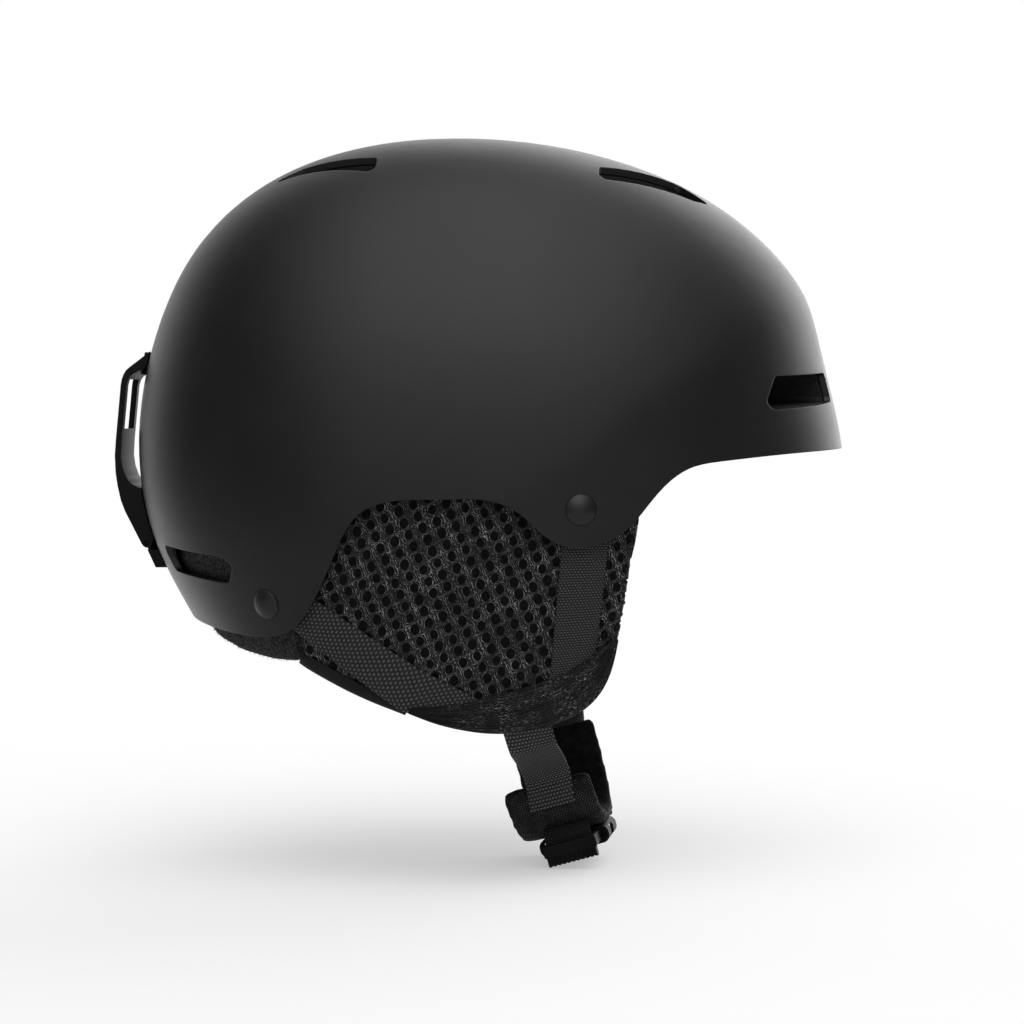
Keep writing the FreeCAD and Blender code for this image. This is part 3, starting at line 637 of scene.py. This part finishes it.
BIND_MID = [(12.7, -43.3), (19.4, -41.0), (48.8, -29.2), (70.0, -18.4)]


# ------------------------------------------------------------------ ear pads
def ear_net(name, base, side):
    """Sheet of spacer mesh with real holes, laid over the padded base and rolled in at its edge."""
    tree = tree_of(base)
    edge = bent(spline(EAR_EDGE, 160), 160)
    roll = NET_ROLL
    extra = roll * (math.pi / 2 - 1)
    a, b = (np.array(step) for step in HOLE_STEPS)
    seats = []
    for i in range(-30, 31):
        for j in range(-30, 31):
            c = a * i + b * j + np.array(HOLE_START)
            if -70 < c[0] < 79 and -56 < c[1] < 53:
                seats.append(c)
    corners = [(-0.5, -0.5), (0.5, -0.5), (0.5, 0.5), (-0.5, 0.5)]
    outer = []
    for k in range(4):
        p, q = np.array(corners[k]), np.array(corners[(k + 1) % 4])
        for s in range(4):
            outer.append(p + (q - p) * s / 4)
    outer = np.array(outer)
    square = outer[:, :1] * a + outer[:, 1:] * b
    heading = np.arctan2(square[:, 1], square[:, 0])
    ring = np.stack([HOLE_HALF[0] * np.cos(heading), HOLE_HALF[1] * np.sin(heading)], axis=1)
    # each ring: size, height and outward tone; the tone places the yarn loops and also sets the painted shade
    # down the hole walls
    rings = [(0.86, -1.15, 0.0), (0.96, -0.45, 0.08), (1.0, -0.05, 0.2), (1.14, 0.16, 0.45), (None, 0.0, 1.0)]
    flat = []
    lift = []
    ring_uv_and_hole_shade = []
    faces = []
    chance = random.Random(11)
    for c in seats:
        wob = 1 + chance.uniform(-0.09, 0.09)
        turn = chance.uniform(-0.12, 0.12)
        spin = np.array([[math.cos(turn), -math.sin(turn)], [math.sin(turn), math.cos(turn)]])
        start = len(flat)
        for scale, height, value in rings:
            ringed = square if scale is None else (ring * scale * wob) @ spin.T
            for k in range(HOLE_POINTS):
                flat.append(c + ringed[k])
                lift.append(height)
                ring_uv_and_hole_shade.append((k / HOLE_POINTS, value))
        for r in range(len(rings) - 1):
            for k in range(HOLE_POINTS):
                m = (k + 1) % HOLE_POINTS
                low, high = start + r * HOLE_POINTS, start + (r + 1) * HOLE_POINTS
                faces.append((low + k, low + m, high + m, high + k))
    flat = np.array(flat)
    delta = flat[:, None, :] - edge[None, :, :]
    far = np.linalg.norm(delta, axis=2)
    near = far.argmin(axis=1)
    tangent = np.gradient(edge, axis=0)
    tangent /= np.linalg.norm(tangent, axis=1, keepdims=True)
    inward = np.stack([-tangent[:, 1], tangent[:, 0]], axis=1)
    if (inward[80] * (np.array((0.0, 10.0)) - edge[80])).sum() < 0:
        inward = -inward
    signed = (delta[np.arange(len(flat)), near] * inward[near]).sum(axis=1)
    s = signed + extra
    quarter = roll * math.pi / 2
    angle = np.clip(s / roll, 0, math.pi / 2)
    distance = np.where(s >= quarter, signed, roll * (1 - np.cos(angle)))
    depth = np.where(s >= quarter, 0.0, roll * (1 - np.sin(angle)) + np.maximum(-s, 0))
    moved = np.where((s < quarter)[:, None], flat + inward[near] * (distance - signed)[:, None], flat)
    points = []
    for k in range(len(moved)):
        y, z = moved[k] + inward[near[k]] * 0.6 * (s[k] < quarter)
        place, normal = hit_side(tree, y, z, side)
        guess = place - Vector(normal) * float(depth[k] * MM)
        place, normal, _, _ = tree.find_nearest(guess)
        points.append(place + Vector(normal) * (NET_RISE + lift[k]) * MM)
    good = s > -4.5
    faces = [f for f in faces if all(good[i] for i in f)]
    item = piece(name, points, faces, NET)
    layer = item.data.uv_layers.new(name="loops")
    for corner in item.data.loops:
        layer.data[corner.index].uv = ring_uv_and_hole_shade[corner.vertex_index]
    mesh = bmesh.new()
    mesh.from_mesh(item.data)
    loose = [v for v in mesh.verts if not v.link_faces]
    bmesh.ops.delete(mesh, geom=loose, context="VERTS")
    bmesh.ops.remove_doubles(mesh, verts=mesh.verts, dist=0.00012)
    bmesh.ops.recalc_face_normals(mesh, faces=mesh.faces)
    mesh.to_mesh(item.data)
    mesh.free()
    return item


right_pad = puffed("ear_pad_right_foam", "ear_pad_right", PAD_BASE, voxel=3.2, shrink=1.0, cap=0.9, soften=5)
left_pad = other_side(right_pad, "ear_pad_left_foam")
right_net = ear_net("ear_pad_right_mesh", right_pad, -1.0)
left_net = other_side(right_net, "ear_pad_left_mesh")
for pad, net, side_name in ((right_pad, right_net, "right"), (left_pad, left_net, "left")):
    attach(pad, "helmet")
    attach(net, "helmet")
    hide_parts("ear_pad_" + side_name)

right_lining = puffed("ear_lining_right_fleece", "ear_lining_right", LINING, voxel=3.0, shrink=0.6, cap=1.0)
left_lining = other_side(right_lining, "ear_lining_left_fleece")
for pad, side_name in ((right_lining, "right"), (left_lining, "left")):
    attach(pad, "helmet")
    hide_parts("ear_lining_" + side_name)


# ------------------------------------------------------------------ straps on the helmet
def rail_grid(tree, rails, side, rows, columns, depth):
    left = bent(rails[0], rows)
    right = bent(rails[1], rows)
    grid = np.zeros((rows, columns, 3))
    for i in range(rows):
        for j in range(columns):
            s = 0.012 + 0.976 * j / (columns - 1)
            y, z = left[i] * (1 - s) + right[i] * s
            place, _ = hit_side(tree, y, z, side)
            grid[i, j] = place
    for _ in range(3):
        grid[1:-1] = grid[1:-1] * 0.5 + (grid[:-2] + grid[2:]) * 0.25
    n = grid_normals(grid)
    if (n[..., 0] * side).sum() < 0:
        n = -n
    return grid - n * depth * MM


for place, rails, material in (("front", FRONT_RAILS, WEB), ("rear", REAR_RAILS, WEB_REAR)):
    shape = rail_grid(node_tree_of("strap_%s_right" % place), rails, -1.0, 60, 14, 0.75)
    near_strap = band("web_%s_right" % place, shape, WEB_THICK * MM, material, np.array((-1.0, 0, 0)))
    far_strap = other_side(near_strap, "web_%s_left" % place)
    for strap, side_name in ((near_strap, "right"), (far_strap, "left")):
        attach(strap, "helmet")
        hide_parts("strap_%s_%s" % (place, side_name))


# ------------------------------------------------------------------ sleeve over the foot of the pad
def sleeve(name, side):
    tree = node_tree_of("strap_sleeve_right" if side < 0 else "strap_sleeve_left")
    rows, columns = 90, 34
    top = spline(SLEEVE_TOP, rows + 4)[2:-2]
    low = spline(SLEEVE_LOW, rows + 4)[2:-2]
    grid = np.zeros((rows, columns, 3))
    for i in range(rows):
        hits = []
        for j in range(columns):
            s = 0.02 + 0.96 * j / (columns - 1)
            y, z = top[i] * (1 - s) + low[i] * s
            place, _ = hit_side(tree, y, z, side, False)
            grid[i, j] = (0.0, y * MM, z * MM)
            if place is not None:
                hits.append((j, place.x))
        if hits:
            grid[i, :, 0] = np.interp(np.arange(columns), [h[0] for h in hits], [h[1] for h in hits])
        else:
            grid[i, :, 0] = grid[i - 1, :, 0]
    for _ in range(4):
        grid[1:-1] = grid[1:-1] * 0.5 + (grid[:-2] + grid[2:]) * 0.25
    n = grid_normals(grid)
    if (n[..., 0] * side).sum() < 0:
        n = -n
    i = np.arange(rows)[:, None] / (rows - 1.0)
    j = np.arange(columns)[None, :] / (columns - 1.0)
    fold = (0.45 * np.sin(2 * math.pi * (j * 3.1 + 0.25 * np.sin(5.0 * i) + 0.3))
            + 0.25 * np.sin(2 * math.pi * (j * 5.3 + 0.4 * np.sin(7.0 * i + 1.0))))
    fade = np.clip(8 * i, 0, 1) * np.clip(8 * (1 - i), 0, 1)
    fold = fold * np.sin(math.pi * np.clip(j, 0, 1)) ** 0.5 * fade
    curl = 1.7 * (1 - np.sqrt(np.clip(1 - (2 * j - 1) ** 8, 0, 1)))
    grid = grid + n * ((fold * 0.8 - 0.9 - curl)[..., None]) * MM
    return band(name, grid, 0.9 * MM, SLEEVE, np.array((side, 0, 0)))


right_sleeve = sleeve("sleeve_right", -1.0)
left_sleeve = other_side(right_sleeve, "sleeve_left")
for item, side_name in ((right_sleeve, "right"), (left_sleeve, "left")):
    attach(item, "helmet")
    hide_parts("strap_sleeve_" + side_name)


# ------------------------------------------------------------------ binding along the rear lower edge
def binding(name, side):
    """Bound edge: a rounded strip that starts on the mesh and wraps under the pad."""
    tree = tree_of(right_pad if side < 0 else left_pad)
    line = spline(BIND_MID, 90)
    line = line[line[:, 0] > BIND_START]
    rows, columns = len(line), 13
    tangent = np.gradient(line, axis=0)
    tangent /= np.linalg.norm(tangent, axis=1, keepdims=True)
    down = np.stack([tangent[:, 1], -tangent[:, 0]], axis=1)
    down *= -np.sign(down[:, 1:])
    face = np.zeros(rows)
    for i in range(rows):
        y, z = line[i] - down[i] * BIND_ABOVE
        face[i] = hit_side(tree, y, z, side)[0].x / MM + side * 1.35
    for _ in range(25):
        face[1:-1] = face[1:-1] * 0.5 + (face[:-2] + face[2:]) * 0.25
    grid = np.zeros((rows, columns, 3))
    for j in range(columns):
        angle = BIND_WRAP * j / (columns - 1.0)
        grid[:, j, 0] = face - side * BIND_RADIUS * (1 - math.cos(angle))
        grid[:, j, 1:] = line + down * (BIND_RADIUS * math.sin(angle) - BIND_ABOVE)
    return band(name, grid * MM, 0.8 * MM, TAPE)


right_binding = binding("binding_right", -1.0)
left_binding = other_side(right_binding, "binding_left")
for item, side_name in ((right_binding, "right"), (left_binding, "left")):
    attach(item, "helmet")
    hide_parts("ear_binding_" + side_name)

# ------------------------------------------------------------------ neck roll and comfort pads
roll = puffed("neck_roll_fleece", "neck_roll", ROLL, voxel=3.0, shrink=0.4, cap=1.0, soften=3)
place = coords(roll)
reach = np.clip((0.094 - place[:, 1]) / 0.024, 0.0, 1.0)
place[:, 1] -= ROLL_FORWARD * MM * reach ** 2
set_coords(roll, place)
pile = fuzz("neck_roll_pile", roll, 4200, 1.3, ROLL,
            keep=lambda data, t: data.vertices[t.vertices[0]].co.z < -0.004, width=0.06, seed=5)
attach(pile, "helmet")
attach(roll, "helmet")
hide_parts("neck_roll")
for name in ("crown_pad", "brow_pad", "rear_pad", "side_pad_right", "side_pad_left"):
    if name == "side_pad_left":
        pad = other_side(bpy.data.objects["side_pad_right_fleece"], name + "_fleece")
    else:
        pad = puffed(name + "_fleece", name, COMFORT, voxel=3.0, shrink=0.5, cap=1.1)
    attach(pad, "helmet")
    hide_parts(name)

# ------------------------------------------------------------------ chin strap
CHIN_ORIGIN = np.array((-1.3, -22.4, -45.5))
CHIN_TILT = math.radians(-15.6)
CHIN_TURN = math.radians(-5.5)


def chin(x, w, drop):
    """Chin-plane place (across, width, down) in millimetres to the frame in metres."""
    z = -drop
    y = w * math.cos(CHIN_TILT) - z * math.sin(CHIN_TILT)
    cos, sin = math.cos(CHIN_TURN), math.sin(CHIN_TURN)
    return (CHIN_ORIGIN + np.array((x * cos - y * sin, x * sin + y * cos,
                                    w * math.sin(CHIN_TILT) + z * math.cos(CHIN_TILT)))) * MM


def chin_local(points):
    """The frame in metres back to chin-plane places: across, width, down, in millimetres."""
    p = np.asarray(points, float) / MM - CHIN_ORIGIN
    cos, sin = math.cos(CHIN_TURN), math.sin(CHIN_TURN)
    x = p[:, 0] * cos + p[:, 1] * sin
    y = -p[:, 0] * sin + p[:, 1] * cos
    w = y * math.cos(CHIN_TILT) + p[:, 2] * math.sin(CHIN_TILT)
    z = -y * math.sin(CHIN_TILT) + p[:, 2] * math.cos(CHIN_TILT)
    return np.stack([x, w, -z], axis=1)


def chin_band(name, path, width, thick, material, lean=0.0, shift=0.0, rows=70, columns=14, out=None,
              under=None):
    """Strap along a chin-plane path. under = (pad, side): its top goes up over the pad, below the sleeve."""
    line = spline(path, rows)
    grid = np.zeros((rows, columns, 3))
    for i, (x, drop) in enumerate(line):
        for j in range(columns):
            w = width * (j / (columns - 1.0) - 0.5) + lean * drop + shift
            grid[i, j] = chin(x, w, drop)
    if under:
        tree, side = tree_of(under[0]), under[1]
        heights = np.linspace(-30.0, -41.5, 14)
        above = np.zeros((len(heights), columns, 3))
        for i, z in enumerate(heights):
            for j in range(columns):
                slope = (grid[12, j, 1] - grid[0, j, 1]) / (grid[12, j, 2] - grid[0, j, 2])
                y = grid[0, j, 1] / MM + slope * 0.6 * (z - grid[0, j, 2] / MM)
                place, normal = hit_side(tree, y, z, side)
                above[i, j] = place + Vector(normal) * 1.1 * MM
        grid = np.concatenate([above, grid[2:]], axis=0)
        for _ in range(30):
            grid[1:34] = grid[1:34] * 0.5 + (grid[:33] + grid[2:35]) * 0.25
    return band(name, grid, thick * MM, material, out)


RIGHT_PATH = [(-86.0, 6.0), (-66.0, 12.6), (-51.0, 19.2), (-45.2, 24.0), (-43.4, 28.5), (-41.5, 34.2)]
LEFT_PATH = [(86.0, 6.0), (62.0, 13.4), (40.0, 21.5), (26.0, 28.0), (18.5, 35.0), (13.2, 41.5),
             (8.4, 45.2), (6.0, 48.5), (5.4, 51.5)]
SHORT_PATH = [(-33.0, 43.2), (-35.2, 45.8), (-35.8, 50.5)]
near_lower = chin_band("web_lower_right", RIGHT_PATH, WEB_WIDE, WEB_THICK, WEB_LOWER, 0.16, -3.4,
                       under=(right_pad, -1.0))
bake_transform(near_lower)
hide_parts("strap_lower_right")
far_lower = chin_band("web_lower_left", LEFT_PATH, WEB_WIDE, WEB_THICK, WEB_LOWER, -0.09, 4.5,
                      under=(left_pad, 1.0))
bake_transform(far_lower)
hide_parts("strap_lower_left")
short_web = chin_band("web_adjuster", SHORT_PATH, WEB_WIDE, WEB_THICK, WEB_DARK, rows=20)
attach(short_web, "chin_strap")
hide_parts("adjuster_web")

KNIT = fine_knit("chin_knit", (-CHIN_TILT, 0.0, -CHIN_TURN), 0.085)
chin_pad = puffed("chin_pad_fleece", "chin_pad", KNIT, voxel=1.6, shrink=-0.5, cap=0.8, soften=22)
place = coords(chin_pad)
reach = np.clip(chin_local(place)[:, 1] / 16.0, 0.0, 1.0)
set_coords(chin_pad, place + np.outer(CHIN_PAD_WIDER * reach ** 2, chin(0.0, 1.0, 0.0) - chin(0.0, 0.0, 0.0)))
chin_pad.data.materials.append(VELVET)
middles = np.array([p.center[:] for p in chin_pad.data.polygons])
normals = np.array([p.normal[:] for p in chin_pad.data.polygons])
ahead = chin_local(middles + normals * MM) - chin_local(middles)
inward = np.array((-12.0, 0.0, 14.0)) - chin_local(middles)
inward[:, 1] = 0.0
inward /= np.maximum(np.linalg.norm(inward, axis=1, keepdims=True), 1e-9)
inside = (ahead * inward).sum(axis=1) > 0.4
chin_pad.data.polygons.foreach_set("material_index", inside.astype(np.int32))
chin_fuzz = fuzz("chin_pad_pile", chin_pad, 2600, 1.1, VELVET,
                 keep=lambda data, t: data.polygons[t.polygon_index].material_index == 1, width=0.06, seed=3)
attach(chin_fuzz, "chin_strap")
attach(chin_pad, "chin_strap")
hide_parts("chin_pad")

# ------------------------------------------------------------------ floor and light
FLOOR_TONES = (0.695, 0.705)
FLOOR_GLOW = 0.385
FLOOR_FADE = (0.55, 1.8)
floor_z = cad_low.z - 0.5 * MM
rings, spokes = (0.0, 0.3, 0.7, 1.2, 1.9), 72
ground_points = [(0.0, 0.0, floor_z)]
ground_faces = []
for r, reach in enumerate(rings[1:]):
    for k in range(spokes):
        heading = 2 * math.pi * k / spokes
        ground_points.append((reach * math.cos(heading), reach * math.sin(heading), floor_z))
        after = (k + 1) % spokes
        if r == 0:
            ground_faces.append((0, 1 + k, 1 + after))
        else:
            low, high = 1 + (r - 1) * spokes, 1 + r * spokes
            ground_faces.append((low + k, high + k, high + after, low + after))
floor = piece("floor", ground_points, ground_faces, SHELL, smooth=False)
ground = Finish("floor_white", 0.9)
ground.set("Specular IOR Level", 0.05)
drift = ground.noise(ground.object, 3.0)
ground.set("Base Color", ground.ramp(drift, list(zip((0.3, 0.7), FLOOR_TONES))))
ground.set("Emission Color", (1.0, 1.0, 1.0, 1.0))
ground.set("Emission Strength", FLOOR_GLOW)
away = ground.add("ShaderNodeVectorMath", operation="LENGTH")
ground.plug(away.inputs[0], ground.object)
clear = ground.add("ShaderNodeBsdfTransparent")
mix = ground.add("ShaderNodeMixShader")
ground.plug(mix.inputs[0], ground.remap(away.outputs["Value"], *FLOOR_FADE))
ground.tree.links.new(ground.shader.outputs[0], mix.inputs[1])
ground.tree.links.new(clear.outputs[0], mix.inputs[2])
ground.tree.links.new(mix.outputs[0], ground.nodes["Material Output"].inputs[0])
dress(floor, ground.material)
floor.visible_glossy = False

world = bpy.data.worlds.new("studio")
scene.world = world
world.use_nodes = True
sky = Maker(world.node_tree)
direction = sky.add("ShaderNodeTexCoord").outputs["Generated"]
dx, dy, dz = sky.split(direction)


def lobe(x, y, z, low, high, power):
    """Soft round light: full power where the direction is closer than acos(high)."""
    heading = Vector((x, y, z)).normalized()
    node = sky.add("ShaderNodeVectorMath", operation="DOT_PRODUCT")
    sky.plug(node.inputs[0], direction)
    node.inputs[1].default_value = heading
    return sky.remap(node.outputs["Value"], low, high, 0.0, power)


overhead = sky.math("MULTIPLY", lobe(-0.40, -0.08, 0.91, 0.55, 0.97, 1.4),
                    sky.remap(sky.math("ABSOLUTE", sky.math("ADD", dy, 0.08)), 0.12, 0.62, 1.0, 0.42))
behind = sky.math("MULTIPLY", sky.remap(dx, 0.25, 0.95, 0.0, 0.98), sky.remap(dz, 0.1, 0.6, 1.0, 0.75))
front = lobe(0.80, -0.48, 0.38, 0.76, 0.98, 1.75)
near = lobe(-0.85, -0.05, 0.5, 0.62, 1.0, 0.34)
below = sky.remap(dz, -0.02, -0.3, 0.0, 0.32)
level = sky.math("ADD", overhead, 0.11)
for light in (front, near, sky.math("MULTIPLY", behind, sky.remap(dz, -0.75, -0.35)), below):
    level = sky.math("ADD", level, light)
ray = sky.add("ShaderNodeLightPath").outputs["Is Camera Ray"]
background = sky.nodes["Background"]
hidden = sky.math("MULTIPLY", level, sky.math("SUBTRACT", 1.0, ray))
sky.plug(background.inputs["Strength"], sky.math("ADD", hidden, ray))
background.inputs["Color"].default_value = (1.0, 1.0, 1.0, 1.0)
